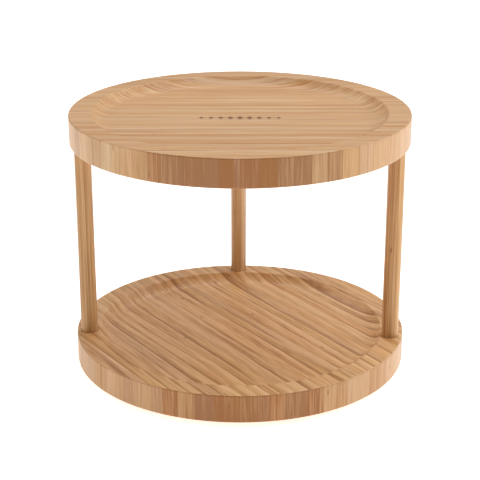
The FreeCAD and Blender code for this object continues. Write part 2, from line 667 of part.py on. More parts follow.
def add_ball_cage():
    """The nylon ring that keeps the balls apart."""
    body = add_body("ball_cage", z=f"{BALL_LEVEL} - Sizes.cage_height / 2")
    outline = add_sketch(body, "ball_cage_outline")
    draw_circle(outline, "Sizes.race_pitch_radius + Sizes.cage_width / 2")
    draw_circle(outline, "Sizes.race_pitch_radius - Sizes.cage_width / 2")
    pad(body, outline, "ball_cage_band", "Sizes.cage_height")
    start = "Sizes.race_pitch_radius - Sizes.cage_width"
    hole = add_sketch(body, "ball_pocket_outline", "YZ_Plane", height=start)
    pocket_radius = "Sizes.ball_radius + Sizes.cage_clearance"
    draw_circle(hole, pocket_radius, y="Sizes.cage_height / 2")
    first = pocket(body, hole, "ball_pocket", "2 * Sizes.cage_width")
    repeat_around(body, first, "ball_pockets", "Sizes.ball_count")
    return body


def add_balls():
    """The ring of steel balls, one sub-part of separate solids."""
    ball = document.addObject("Part::Sphere", "ball")
    ball.setExpression("Radius", "Sizes.ball_radius")
    bind_place(ball, z=BALL_LEVEL)
    return add_ring_of("race_balls", ball, "ball_count", "Sizes.race_pitch_radius")


# ---------------------------------------------------------------- the whole turntable


def add_post_hardware(name):
    """A post with its screw below and its hanger bolt and insert nut above."""
    place = around(POST_CIRCLE, f"Sizes.post_angle_{name}")
    screw = add_screw(
        f"post_screw_{name}",
        "post_screw",
        "Sizes.post_screw_length",
        "Sizes.post_screw_plain",
        "Sizes.point_radius",
        z="Sizes.tray_gap",
        **place,
    )
    return [add_post(name), screw, add_stud(name), add_insert(name)]


def add_race_screws():
    """The two rings of screws: race to tray, and base ring to race."""
    tray_screw = add_screw(
        "tray_screw",
        "tray_screw",
        TRAY_SCREW_LENGTH,
        "Sizes.race_height",
        "Sizes.point_radius",
        z=INNER_RACE_UNDERSIDE,
    )
    base_screw = add_screw(
        "base_screw",
        "base_screw",
        BASE_SCREW_LENGTH,
        "Sizes.base_thickness",
        "Sizes.base_screw_radius - Sizes.base_screw_point",
        z=BASE_UNDERSIDE,
    )
    count = "race_screw_count"
    return [
        add_ring_of("tray_screws", tray_screw, count, TRAY_SCREW_CIRCLE),
        add_ring_of("base_screws", base_screw, count, BASE_SCREW_CIRCLE, "Sizes.base_screw_angle"),
    ]


def build():
    """Adds every sub-part to the document and returns them."""
    parts = [add_upper_tray(), add_lower_tray()]
    for name in POSTS:
        parts += add_post_hardware(name)
    parts += [add_base_ring(), add_outer_race(), add_inner_race(), add_ball_plug()]
    parts += [add_ball_cage(), add_balls()]
    parts += add_race_screws()
    parts += [add_foot(number + 1) for number in range(int(value_of("Sizes.foot_count")))]
    return parts


def check(parts):
    """Stops the build if any object failed or any sub-part has no sound solid."""
    for piece in document.Objects:
        if "Invalid" in piece.State or "Error" in piece.State:
            raise RuntimeError(f"{piece.Label} failed: {piece.State}")
    for piece in parts:
        shape = piece.Shape
        if shape.isNull() or not shape.isValid() or not shape.Solids:
            raise RuntimeError(f"{piece.Label} has no sound solid")


def export(parts):
    """Writes each sub-part to a STEP file named after its label."""
    os.makedirs(OUT_FOLDER, exist_ok=True)
    for piece in parts:
        piece.Shape.exportStep(os.path.join(OUT_FOLDER, f"{piece.Label}.step"))


sheet = add_sheet()
subparts = build()
document.recompute()
check(subparts)
export(subparts)
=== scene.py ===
"""Bamboo lazy susan: two dished trays on three posts, turning on a ball race.

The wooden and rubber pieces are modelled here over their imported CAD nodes, the metal and
nylon nodes keep their CAD shape, and every piece gets a procedural finish. Sizes are in
metres, +Z is up, and the origin lies on the spin axis at the height of the table.
"""

import logging
import math
from dataclasses import dataclass, field
from enum import Enum
from typing import Any, Callable, Mapping, Sequence

import bmesh
import bpy
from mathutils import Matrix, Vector


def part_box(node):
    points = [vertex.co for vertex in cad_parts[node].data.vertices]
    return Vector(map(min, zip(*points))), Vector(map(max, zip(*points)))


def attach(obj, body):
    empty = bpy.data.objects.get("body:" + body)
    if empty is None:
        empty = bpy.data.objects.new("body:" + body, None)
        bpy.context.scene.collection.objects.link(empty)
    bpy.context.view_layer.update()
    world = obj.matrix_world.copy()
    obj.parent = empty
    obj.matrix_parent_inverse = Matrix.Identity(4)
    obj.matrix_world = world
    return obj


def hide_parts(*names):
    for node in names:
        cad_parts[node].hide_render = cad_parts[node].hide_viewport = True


Material = bpy.types.Material
Node = bpy.types.Node
NodeTree = bpy.types.NodeTree
Pair = tuple[float, float]

LOG = logging.getLogger("lazy_susan")
MM = 0.001
POSTS = ("back", "left", "right")
SCREWS = 6  # In each ring of screws.
FEET = 6
WHITE = (1.0, 1.0, 1.0, 1.0)

# Limits for picking faces and edges, and for smoothing.
TINY = 1e-6
LEVEL = 0.9  # The normal of a level face has at least this much of Z,
STEEP = 0.75  # and that of a face in the edge band at most this much.
SMOOTH_LIMIT = math.radians(32)

# Sides of the round holes, from the post sockets down to the smallest pilots.
SOCKET_SIDES = 48
SCREW_SIDES = 32
PILOT_SIDES = 24

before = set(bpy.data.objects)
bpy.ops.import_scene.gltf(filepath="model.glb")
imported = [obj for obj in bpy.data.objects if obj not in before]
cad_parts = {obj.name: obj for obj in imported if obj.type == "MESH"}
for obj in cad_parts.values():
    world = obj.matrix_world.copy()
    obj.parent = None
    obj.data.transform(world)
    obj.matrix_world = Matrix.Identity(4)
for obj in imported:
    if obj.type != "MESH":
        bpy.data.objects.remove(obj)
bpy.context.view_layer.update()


# ---- colours and nodes


def linear(colour: str) -> tuple[float, float, float, float]:
    """Turns an sRGB hex colour into linear RGBA.

    Args:
        colour: Six hex digits, such as "C89B6A".

    Returns:
        Linear red, green and blue, and an alpha of 1.
    """
    shares = [int(colour[i : i + 2], 16) / 255 for i in (0, 2, 4)]
    # The numbers are those of the sRGB standard.
    values = [c / 12.92 if c <= 0.04045 else ((c + 0.055) / 1.055) ** 2.4 for c in shares]
    return (values[0], values[1], values[2], 1.0)


def add_node(
    tree: NodeTree,
    kind: str,
    inputs: Mapping[int | str, Any] | None = None,
    stops: Sequence[tuple[float, str]] = (),
    **settings: Any,
) -> Node:
    """Adds one node with its settings and links.

    Args:
        tree: The node tree that gets the node.
        kind: The node's type name, without its "ShaderNode" prefix.
        inputs: Value, output socket or node for each input, by name or number.
        stops: Place and hex colour of each stop of a colour ramp.
        **settings: The node's own properties.

    Returns:
        The new node.
    """
    node = tree.nodes.new(f"ShaderNode{kind}")
    for name, value in settings.items():
        setattr(node, name, value)
    for key, value in (inputs or {}).items():
        if isinstance(value, Node):
            value = value.outputs[0]
        if isinstance(value, bpy.types.NodeSocket):
            tree.links.new(value, node.inputs[key])
        else:
            node.inputs[key].default_value = value
    for i, (place, colour) in enumerate(stops):
        ramp = node.color_ramp.elements
        stop = ramp[i] if i < len(ramp) else ramp.new(place)
        stop.position, stop.color = place, linear(colour)
    return node


def new_tree(name: str) -> tuple[Material, NodeTree, Node]:
    """Starts a material with a Principled surface.

    Args:
        name: The material's name.

    Returns:
        The material, its node tree and its Principled node.
    """
    material = bpy.data.materials.new(name)
    material.use_nodes = True
    return material, material.node_tree, material.node_tree.nodes["Principled BSDF"]


def cover(tree: NodeTree, surface: Node, colour: Node, rough: Node, relief: Node) -> None:
    """Links a pattern of colour, roughness and bump to a surface.

    Args:
        tree: The node tree.
        surface: The Principled node.
        colour: Node that gives the colour.
        rough: Node that gives the roughness.
        relief: Bump node.
    """
    for node, socket in ((colour, "Base Color"), (rough, "Roughness"), (relief, "Normal")):
        tree.links.new(node.outputs[0], surface.inputs[socket])


# ---- finishes


class Lay(Enum):
    """How the bamboo strips of a piece are laid."""

    FLAT = "side by side across a board"
    BAND = "upright around a board's edge"
    POLE = "upright in a post"


@dataclass(frozen=True)
class BurntRow:
    """A plain burnt ornament: a row of lozenges, threaded on a thin line.

    Attributes:
        above: Height above which the wood is burnt.
        half_length: Half the length of the row.
        pitch: Distance from one lozenge to the next.
        lozenge: Half the length and half the width of the middle lozenge.
        taper: Size of the last lozenge, as a share of the middle one.
        line: Half the width of the line.
        soft: How softly the lozenges and the line end, as shares of their sizes.
        colour: Colour of the burnt wood.
        strength: How fully the burn covers the wood.
    """

    above: float = 185 * MM
    half_length: float = 31 * MM
    pitch: float = 7.2 * MM
    lozenge: Pair = (3.0 * MM, 5.0 * MM)
    taper: float = 0.6
    line: float = 0.5 * MM
    soft: Pair = (0.1, 0.3)
    colour: str = "743F16"
    strength: float = 0.85

    def mask(self, tree: NodeTree, place: Node) -> Node:
        """Draws the ornament.

        Args:
            tree: The node tree of the tray's material.
            place: Node that splits the piece's Object coordinates.

        Returns:
            A node that is above 0 on the burnt lines and 0 elsewhere.
        """
        x, y, z = place.outputs
        side = add_node(tree, "Math", {0: x}, operation="ABSOLUTE")
        off = add_node(tree, "Math", {0: y}, operation="ABSOLUTE")
        taper = add_node(tree, "MapRange", {0: side, 2: self.half_length, 3: 1.0, 4: self.taper})
        beat = add_node(tree, "Math", {0: x, 1: self.pitch / 2}, operation="PINGPONG")
        length = add_node(tree, "Math", {0: beat, 1: self.lozenge[0]}, operation="DIVIDE")
        width = add_node(tree, "Math", {0: off, 1: self.lozenge[1]}, operation="DIVIDE")
        total = add_node(tree, "Math", {0: length, 1: width}, operation="ADD")
        total = add_node(tree, "Math", {0: total, 1: taper}, operation="DIVIDE")
        blur, haze = self.soft
        shape = add_node(tree, "MapRange", {0: total, 1: 1 + blur, 2: 1 - blur})
        reach = {1: (1 + haze) * self.line, 2: (1 - haze) * self.line}
        line = add_node(tree, "MapRange", {0: off, **reach})
        burn = add_node(tree, "Math", {0: shape, 1: line}, operation="MAXIMUM")
        inside = add_node(tree, "Math", {0: side, 1: self.half_length}, operation="LESS_THAN")
        upper = add_node(tree, "Math", {0: z, 1: self.above}, operation="GREATER_THAN")
        for part in (inside, upper, self.strength):
            burn = add_node(tree, "Math", {0: burn, 1: part}, operation="MULTIPLY")
        return burn


# How bamboo is drawn, alike in every piece.
TONE_STOPS = (0.1, 0.37, 0.63, 0.9)  # Tone of each of the four shades.
NOISE_SPAN = {1: 0.28, 2: 0.72}  # The noise hardly leaves this range.
STOCK = 3.0  # Metres of stock that a strip may come from.
DEPTH_SHARE = 0.3  # Patterns are longer into the board than across it.
WANDER_STRIPS = 3.2  # Strips that wander together.
WANDER_SPREAD = 4.0  # Makes up for the noise's narrow range.
BAND_RATIO = 5.0  # Length of a band over that of a fibre streak.
BAND_DETAIL = 1.0
FIBRE_DETAIL = 3.0
TRAY_RADIUS = 127 * MM
FRONT_SHADE_SPAN = {1: -127 * MM, 2: -104 * MM}  # Where the painted shade on the front of an edge starts and ends.
HUES = {3: 0.497, 4: 0.503}  # 0.5 leaves a hue as it is.
RICHNESS = {3: 0.94, 4: 1.06}
SEAM_CORE = 0.25  # Share of a seam's width at full strength.
SEAM_CHANCE = {1: 0.2, 2: 1.0, 3: 0.0}  # A fifth of the seams don't show.
SEAM_FADE = {1: 0.25, 2: 0.75, 3: 1.0, 4: 0.3}  # Seams are fainter in pale bands.
MARK_CELL = (26 * MM, 7 * MM)  # Length and width of the place of one possible mark.
MARK_SCATTER = 0.7  # How far from the middle of its cell a mark may lie.
MARK_EDGE = {1: 0.04, 2: 0.12, 3: 0.7, 4: 0.0}  # Its strength falls off from the middle.
SATIN = {3: 0.52, 4: 0.4}  # Roughness in the pores and on the fibres.
FIBRE_BUMP = {"Strength": 0.3, "Distance": 0.05 * MM}
BAMBOO_IOR = 1.45
LACQUER_ROUGHNESS = 0.28

# The same for the marks in metal, rubber and nylon.
MARKS_SPAN = {1: 0.3, 2: 0.7}
METAL_BUMP = {"Strength": 0.3, "Distance": 0.02 * MM}
MOULD_BUMP = {"Strength": 0.4, "Distance": 0.03 * MM}


@dataclass(frozen=True)
class BambooFinish:
    """Laminated bamboo under a satin clear coat.

    Attributes:
        name: The material's name.
        lay: How the strips are laid.
        turn: Angle of the grain about Z.
        centre: Point that the strips are counted from.
        strip: Usual width of a strip.
        wander: How far the grain wanders sideways, which also makes widths uneven.
        wander_length: Length over which it wanders.
        lean: Sideways shift of the grain with depth.
        band: Width of the soft bands of tone.
        fibre: Width of the finest streaks, which are coarser than real fibres so as to show.
        fibre_length: Length of the streaks.
        shades: Colours from the darkest streak to the palest wood.
        shares: How much strip, grading, band and fibre each add to the tone.
        seam: Colour of the dark lines between strips.
        seam_width: Width of such a line.
        seam_strength: How strongly the lines show.
        marks: Share of places with the dark dash of a bamboo node.
        coat: Weight of the clear coat.
        front_painted_shade: How much darker and browner the strips are painted towards the front,
            as painted shade.
        ornament: Burnt ornament on the piece, if any.
    """

    name: str
    lay: Lay
    turn: float = 0.0
    centre: tuple[float, float, float] = (0.0, 0.0, 0.0)
    strip: float = 4.2 * MM
    wander: float = 1.6 * MM
    wander_length: float = 200 * MM
    lean: float = 0.0
    band: float = 2.6 * MM
    fibre: float = 0.7 * MM
    fibre_length: float = 30 * MM
    shades: tuple[str, str, str, str] = ("B37949", "C99A69", "D7AC7D", "E4C298")
    shares: tuple[float, float, float, float] = (0.3, 0.2, 0.35, 0.35)
    seam: str = "B46B43"
    seam_width: float = 1.2 * MM
    seam_strength: float = 0.85
    marks: float = 0.03
    coat: float = 0.15
    front_painted_shade: float = 0.0
    ornament: BurntRow | None = None

    def material(self) -> Material:
        """Builds the finish.

        Returns:
            The finished material.
        """
        # The strips are glued side by side and sanded, so tone changes at each glue line;
        # long fibres streak each strip, and the thin lacquer leaves a soft satin sheen.
        material, tree, surface = new_tree(self.name)
        place = add_node(tree, "TexCoord").outputs["Object"]
        split = add_node(tree, "SeparateXYZ", {0: place})
        along, across, depth = self.axes(tree, place, split)
        count = self.count_strips(tree, along, across, depth)
        offset = add_node(tree, "Math", {0: count}, operation="FRACT")
        index = add_node(tree, "Math", {0: count}, operation="FLOOR")
        chance = add_node(tree, "TexWhiteNoise", {"W": index}, noise_dimensions="1D")
        random = add_node(tree, "SeparateColor", {0: chance.outputs["Color"]})
        origin = {0: random.outputs[1], 1: STOCK, 2: along}
        own = add_node(tree, "Math", origin, operation="MULTIPLY_ADD")
        flow = add_node(tree, "Math", {0: count, 1: self.strip}, operation="MULTIPLY")
        grain = {0: own, 1: flow, 2: depth}
        bands = self.streaks(tree, grain, self.band, BAND_RATIO * self.fibre_length, BAND_DETAIL)
        fibres = self.streaks(tree, grain, self.fibre, self.fibre_length, FIBRE_DETAIL)
        tone = self.weighed(tree, (random.outputs[0], offset, bands, fibres), split)
        stops = list(zip(TONE_STOPS, self.shades))
        colour = add_node(tree, "ValToRGB", {0: tone}, stops=stops)
        colour = self.tinted(tree, colour, random)
        colour = self.with_seams(tree, colour, offset, random, bands)
        colour = self.with_marks(tree, colour, own, flow)
        if self.ornament:
            mask = self.ornament.mask(tree, split)
            burnt = linear(self.ornament.colour)
            colour = add_node(tree, "MixRGB", {0: mask, 1: colour, 2: burnt})
        rough = add_node(tree, "MapRange", {0: fibres, **SATIN})
        relief = add_node(tree, "Bump", {"Height": fibres, **FIBRE_BUMP})
        cover(tree, surface, colour, rough, relief)
        surface.inputs["IOR"].default_value = BAMBOO_IOR
        surface.inputs["Coat Weight"].default_value = self.coat
        surface.inputs["Coat Roughness"].default_value = LACQUER_ROUGHNESS
        return material

    def axes(self, tree: NodeTree, place: Any, split: Node) -> Sequence[Any]:
        """Finds the coordinates along, across and into the grain.

        Args:
            tree: The node tree.
            place: The piece's Object coordinates.
            split: The same, split into X, Y and Z.

        Returns:
            Outputs that give the three coordinates in metres.
        """
        x, y, z = split.outputs
        if self.lay is Lay.BAND:
            # Counted from the back both ways round, so the count starts anew at the front.
            angle = add_node(tree, "Math", {0: x, 1: y}, operation="ARCTAN2")
            flat = add_node(tree, "CombineXYZ", {0: x, 1: y})
            radius = add_node(tree, "VectorMath", {0: flat}, operation="LENGTH")
            turns = {0: angle, 1: TRAY_RADIUS, 2: self.centre[0]}
            around = add_node(tree, "Math", turns, operation="MULTIPLY_ADD")
            return z, around.outputs[0], radius.outputs["Value"]
        start = tuple(-c for c in self.centre)
        moved = add_node(tree, "Mapping", {"Vector": place, "Location": start})
        swing = (0.0, 0.0, -self.turn)
        turned = add_node(tree, "Mapping", {"Vector": moved, "Rotation": swing})
        x, y, z = add_node(tree, "SeparateXYZ", {0: turned}).outputs
        return (z, x, y) if self.lay is Lay.POLE else (x, y, z)

    def count_strips(self, tree: NodeTree, along: Any, across: Any, depth: Any) -> Node:
        """Counts the strips across the piece, with the grain wandering a little.

        Args:
            tree: The node tree.
            along: Coordinate along the grain.
            across: Coordinate across it.
            depth: Coordinate into the board.

        Returns:
            The count, which grows by 1 from one strip to the next.
        """
        leaned = {0: depth, 1: self.lean, 2: across}
        across = add_node(tree, "Math", leaned, operation="MULTIPLY_ADD")
        point = add_node(tree, "CombineXYZ", {0: along, 1: across, 2: depth})
        width = 1 / (WANDER_STRIPS * self.strip)
        scale = (1 / self.wander_length, width, DEPTH_SHARE * width)
        point = add_node(tree, "Mapping", {"Vector": point, "Scale": scale})
        noise = add_node(tree, "TexNoise", {"Vector": point, "Scale": 1.0, "Detail": BAND_DETAIL})
        spread = {0: noise, 1: WANDER_SPREAD * self.wander, 2: across}
        shift = add_node(tree, "Math", spread, operation="MULTIPLY_ADD")
        return add_node(tree, "Math", {0: shift, 1: self.strip}, operation="DIVIDE")

    def streaks(
        self, tree: NodeTree, grain: Mapping[int, Any], width: float, length: float, detail: float
    ) -> Node:
        """Draws streaks along the grain.

        Args:
            tree: The node tree.
            grain: Coordinates along, across and into the grain.
            width: Width of a streak.
            length: Length of a streak.
            detail: How much finer streaks join in.

        Returns:
            A node with values from 0 to 1.
        """
        point = add_node(tree, "CombineXYZ", grain)
        scale = (1 / length, 1 / width, DEPTH_SHARE / width)
        point = add_node(tree, "Mapping", {"Vector": point, "Scale": scale})
        noise = add_node(tree, "TexNoise", {"Vector": point, "Scale": 1.0, "Detail": detail})
        return add_node(tree, "MapRange", {0: noise, **NOISE_SPAN})

    def weighed(self, tree: NodeTree, parts: Sequence[Any], split: Node) -> Any:
        """Adds up what the strip, its grading, its bands and its fibres give to the tone.

        Args:
            tree: The node tree.
            parts: Values from 0 to 1, in the order of shares.
            split: Node that splits the piece's Object coordinates.

        Returns:
            The tone, from 0 for dark to 1 for pale.
        """
        # The start keeps the tone at 0.5 on average.
        tone: Any = 0.5 * (1 - sum(self.shares))
        for value, share in zip(parts, self.shares):
            weight = {0: value, 1: share, 2: tone}
            tone = add_node(tree, "Math", weight, operation="MULTIPLY_ADD")
        if not self.front_painted_shade:
            return tone
        # Painted shade: the tone is lowered towards the front, standing in for the shade that
        # falls there.
        fall = {0: split.outputs["Y"], 3: self.front_painted_shade, 4: 0.0, **FRONT_SHADE_SPAN}
        front = add_node(tree, "MapRange", fall)
        return add_node(tree, "Math", {0: tone, 1: front}, operation="SUBTRACT")

    def tinted(self, tree: NodeTree, colour: Node, random: Node) -> Node:
        """Leans each strip a little towards pink or yellow.

        Args:
            tree: The node tree.
            colour: Colour of the wood.
            random: Random values of the strip.

        Returns:
            The tinted colour.
        """
        hue = add_node(tree, "MapRange", {0: random.outputs[2], **HUES})
        rich = add_node(tree, "MapRange", {0: random.outputs[1], **RICHNESS})
        tint = {"Hue": hue, "Saturation": rich, "Color": colour}
        return add_node(tree, "HueSaturation", tint)

    def with_seams(
        self, tree: NodeTree, colour: Node, offset: Node, random: Node, bands: Node
    ) -> Node:
        """Draws the dark lines between the strips, which come and go along the grain.

        Args:
            tree: The node tree.
            colour: Colour of the wood.
            offset: Place within the strip, from 0 to 1.
            random: Random values of the strip.
            bands: Soft bands of tone.

        Returns:
            The colour with its lines.
        """
        reach = self.seam_width / self.strip
        core = {1: SEAM_CORE * reach, 2: reach, 3: 1.0, 4: 0.0}
        line = add_node(tree, "MapRange", {0: offset, **core})
        chance = {0: random.outputs[2], 4: self.seam_strength, **SEAM_CHANCE}
        strength = add_node(tree, "MapRange", chance)
        fade = add_node(tree, "MapRange", {0: bands, **SEAM_FADE})
        for part in (strength, fade):
            line = add_node(tree, "Math", {0: line, 1: part}, operation="MULTIPLY")
        return add_node(tree, "MixRGB", {0: line, 1: colour, 2: linear(self.seam)})

    def with_marks(self, tree: NodeTree, colour: Node, along: Any, across: Any) -> Node:
        """Adds the small dark dashes where a bamboo stem had a node.

        Args:
            tree: The node tree.
            colour: Colour of the wood.
            along: Coordinate along the grain.
            across: Coordinate across it.

        Returns:
            The colour with its marks.
        """
        point = add_node(tree, "CombineXYZ", {0: along, 1: across, 2: 0.0})
        scale = (1 / MARK_CELL[0], 1 / MARK_CELL[1], 1.0)
        cell = add_node(tree, "Mapping", {"Vector": point, "Scale": scale})
        scatter = {"Vector": cell, "Scale": 1.0, "Randomness": MARK_SCATTER}
        spots = add_node(tree, "TexVoronoi", scatter, voronoi_dimensions="2D")
        chance = add_node(tree, "SeparateColor", {0: spots.outputs["Color"]})
        share = {0: chance.outputs[0], 1: self.marks}
        chosen = add_node(tree, "Math", share, operation="LESS_THAN")
        spot = add_node(tree, "MapRange", {0: spots.outputs["Distance"], **MARK_EDGE})
        mask = add_node(tree, "Math", {0: spot, 1: chosen}, operation="MULTIPLY")
        return add_node(tree, "MixRGB", {0: mask, 1: colour, 2: linear(self.seam)})


@dataclass(frozen=True)
class PlainFinish:
    """A finish of one colour, a little uneven, with fine marks in its surface.

    Attributes:
        name: The material's name.
        colours: Darker and lighter colour.
        roughness: Lowest and highest roughness.
        grain: Size of the marks.
    """

    name: str
    colours: tuple[str, str]
    roughness: Pair
    grain: float

    def blend(
        self, tree: NodeTree, surface: Node, tone: Node, marks: Node, bump: dict[str, float]
    ) -> None:
        """Lays colour, roughness and bump over the surface.

        Args:
            tree: The node tree.
            surface: The Principled node.
            tone: Pattern that the two colours follow.
            marks: Pattern that roughness and bump follow.
            bump: Strength and distance of the bump.
        """
        low, high = (linear(c) for c in self.colours)
        colour = add_node(tree, "MixRGB", {0: tone, 1: low, 2: high})
        smooth, dull = self.roughness
        rough = add_node(tree, "MapRange", {0: marks, 3: smooth, 4: dull, **MARKS_SPAN})
        relief = add_node(tree, "Bump", {"Height": marks, **bump})
        cover(tree, surface, colour, rough, relief)


@dataclass(frozen=True)
class MetalFinish(PlainFinish):
    """Bare or plated metal with the marks of how it was made.

    Attributes:
        turned: Whether the marks are rings about the spin axis.
    """

    turned: bool = False

    def material(self) -> Material:
        """Builds the finish.

        Returns:
            The finished material.
        """
        material, tree, surface = new_tree(self.name)
        point: Any = add_node(tree, "TexCoord").outputs["Object"]
        if self.turned:
            x, y, z = add_node(tree, "SeparateXYZ", {0: point}).outputs
            flat = add_node(tree, "CombineXYZ", {0: x, 1: y})
            ring = add_node(tree, "VectorMath", {0: flat}, operation="LENGTH")
            point = add_node(tree, "CombineXYZ", {0: ring.outputs["Value"], 2: z})
        grain = {"Vector": point, "Scale": 1 / self.grain, "Detail": 3.0}
        marks = add_node(tree, "TexNoise", grain)
        surface.inputs["Metallic"].default_value = 1.0
        self.blend(tree, surface, marks, marks, METAL_BUMP)
        return material


@dataclass(frozen=True)
class MouldedFinish(PlainFinish):
    """Rubber or plastic from a mould, a little uneven in tone.

    Attributes:
        ior: Index of refraction.
    """

    ior: float

    def material(self) -> Material:
        """Builds the finish.

        Returns:
            The finished material.
        """
        material, tree, surface = new_tree(self.name)
        place = add_node(tree, "TexCoord").outputs["Object"]
        grain = {"Vector": place, "Scale": 1 / self.grain, "Detail": 4.0}
        fine = add_node(tree, "TexNoise", grain)
        # The tone changes over ten times the size of the grain.
        cloud = {"Vector": place, "Scale": 0.1 / self.grain, "Detail": 2.0}
        broad = add_node(tree, "TexNoise", cloud)
        surface.inputs["IOR"].default_value = self.ior
        self.blend(tree, surface, broad, fine, MOULD_BUMP)
        return material


# ---- the workbench


@dataclass
class Workpiece:
    """One mesh on the bench, shaped with Blender's modelling operators.

    Attributes:
        obj: The object that holds the mesh.
        sides: How many sides its circles have.
    """

    obj: bpy.types.Object
    sides: int

    @classmethod
    def billet(
        cls, name: str, radius: float, low: float, high: float, sides: int, centre: Pair = (0, 0)
    ) -> "Workpiece":
        """Starts from a round billet that stands upright.

        Args:
            name: Name of the piece.
            radius: Radius of the billet.
            low: Height of its lower end.
            high: Height of its upper end.
            sides: How many sides the billet has.
            centre: Place of its axis.

        Returns:
            The billet, with its place in its mesh.
        """
        bpy.ops.object.select_all(action="DESELECT")
        bpy.ops.mesh.primitive_cone_add(
            vertices=sides,
            radius1=radius,
            radius2=radius,
            depth=high - low,
            location=(*centre, (low + high) / 2),
        )
        obj = bpy.context.active_object
        obj.name = obj.data.name = name
        bpy.ops.object.transform_apply(location=True, rotation=True, scale=True)
        return cls(obj, sides)

    def take(self) -> None:
        """Takes the piece in hand, so that it alone is selected."""
        bpy.ops.object.select_all(action="DESELECT")
        self.obj.select_set(True)
        bpy.context.view_layer.objects.active = self.obj

    def pick(self, kind: str, test: Callable[[Vector, Vector], bool]) -> None:
        """Selects only the faces or edges that pass a test, in edit mode.

        Args:
            kind: "faces" or "edges".
            test: Says yes or no to a face's centre and normal, or an edge's two ends.
        """
        self.take()
        bpy.ops.object.mode_set(mode="EDIT")
        bpy.ops.mesh.select_mode(type="FACE" if kind == "faces" else "EDGE")
        bpy.ops.mesh.select_all(action="DESELECT")
        mesh = bmesh.from_edit_mesh(self.obj.data)
        for element in getattr(mesh, kind):
            if kind == "faces":
                wanted = test(element.calc_center_median(), element.normal)
            else:
                wanted = test(element.verts[0].co, element.verts[1].co)
            element.select_set(wanted)
        bmesh.update_edit_mesh(self.obj.data)

    def done(self) -> None:
        """Leaves edit mode."""
        bpy.ops.object.mode_set(mode="OBJECT")

    def step_in(self, profile: Sequence[Pair]) -> None:
        """Insets the picked round face step by step, to follow a turned profile.

        Args:
            profile: Radius and height of each step, from the face's present edge inwards.
        """
        flat = math.cos(math.pi / self.sides)
        for (r0, z0), (r1, z1) in zip(profile, profile[1:]):
            bpy.ops.mesh.inset(thickness=(r0 - r1) * flat, depth=0.0, use_even_offset=True)
            if abs(z1 - z0) > TINY * MM:
                bpy.ops.transform.translate(value=(0.0, 0.0, z1 - z0))

    def extrude(self, height: float) -> None:
        """Extrudes the picked faces straight up, or down for a negative height."""
        bpy.ops.mesh.extrude_region_move(TRANSFORM_OT_translate={"value": (0.0, 0.0, height)})

    def countersink(self, radius: float, head: float, centre: Pair, low: float) -> None:
        """Flares a hole's cutter at 45 degrees from its picked lower end, and ends it.

        Args:
            radius: Radius of the hole.
            head: Radius of the screw's head.
            centre: Place of the hole's axis.
            low: Height of the wood's underside.
        """
        self.extrude(radius - head)
        share = head / radius
        bpy.ops.transform.resize(value=(share, share, 1.0), center_override=(*centre, low))
        self.extrude(-MM)
        self.done()

    def round_over(self, width: float, segments: int) -> None:
        """Rounds the picked edges."""
        bpy.ops.mesh.bevel(offset=width, segments=segments, affect="EDGES", profile=0.5)
        self.done()

    def cut(self, cutters: Sequence["Workpiece"]) -> None:
        """Cuts other workpieces out of this one, and clears them away.

        Args:
            cutters: The workpieces to cut out; they don't touch each other.
        """
        cutters[0].take()
        for cutter in cutters:
            cutter.obj.select_set(True)
        bpy.ops.object.join()
        tool = bpy.context.active_object
        self.take()
        modifier = self.obj.modifiers.new("cut", "BOOLEAN")
        modifier.operation = "DIFFERENCE"
        modifier.solver = "EXACT"
        modifier.use_self = True
        modifier.object = tool
        bpy.ops.object.modifier_apply(modifier=modifier.name)
        bpy.data.meshes.remove(tool.data)

    def finish(self) -> bpy.types.Object:
        """Smooths the curves, keeps the flats flat, and cleans the mesh.

        Returns:
            The finished object.
        """
        self.pick("faces", lambda centre, normal: True)
        bpy.ops.mesh.remove_doubles(threshold=TINY)
        bpy.ops.mesh.normals_make_consistent(inside=False)
        self.done()
        bpy.ops.object.shade_smooth_by_angle(angle=SMOOTH_LIMIT)
        modifier = self.obj.modifiers.new("flats", "WEIGHTED_NORMAL")
        modifier.keep_sharp = True
        bpy.ops.object.modifier_apply(modifier=modifier.name)
        return self.obj

    def copy(self, name: str, place: Pair) -> bpy.types.Object:
        """Copies the piece with its own mesh, moved in its mesh.

        Args:
            name: Name of the copy.
            place: Move along X and Y.

        Returns:
            The copy.
        """
        self.take()
        bpy.ops.object.duplicate(linked=False)
        twin = bpy.context.active_object
        twin.name = twin.data.name = name
        bpy.ops.transform.translate(value=(*place, 0.0))
        bpy.ops.object.transform_apply(location=True, rotation=True, scale=True)
        return twin


def dress(
    obj: bpy.types.Object, finishes: Sequence[Material], body: str, node: str
) -> None:
    """Gives a modelled piece its finishes, and ties it to the frame.

    Args:
        obj: The modelled piece.
        finishes: Its materials, one for each material slot.
        body: CAD body that it moves with.
        node: CAD node that it stands for.
    """
    obj.data.materials.clear()
    for finish in finishes:
        obj.data.materials.append(finish)
    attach(obj, body)
    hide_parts(node)
    LOG.info("%s: %d faces", obj.name, len(obj.data.polygons))


def arc(centre: Pair, radius: float, start: float, end: float, steps: int) -> list[Pair]:
    """Points on an arc.

    Args:
        centre: Centre of the arc, as radius and height.
        radius: Radius of the arc.
        start: Angle of its first point, in radians.
        end: Angle of its last point.
        steps: How many steps it takes.

    Returns:
        The points, both ends included.
    """
    angles = [start + (end - start) * i / steps for i in range(steps + 1)]
    return [(centre[0] + radius * math.cos(a), centre[1] + radius * math.sin(a)) for a in angles]


def ring(radius: float, count: int, start: float = 0.0) -> list[Pair]:
    """Places spaced evenly around the spin axis.

    Args:
        radius: Radius of the ring.
        count: How many places it has.
        start: Angle of its first place, in radians.

    Returns:
        The places in plan.
    """
    return arc((0.0, 0.0), radius, start, start + math.tau, count)[:-1]


def middle(node: str) -> Pair:
    """Centre of a CAD node in plan."""
    low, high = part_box(node)
    return ((low.x + high.x) / 2, (low.y + high.y) / 2)


# ---- the trays


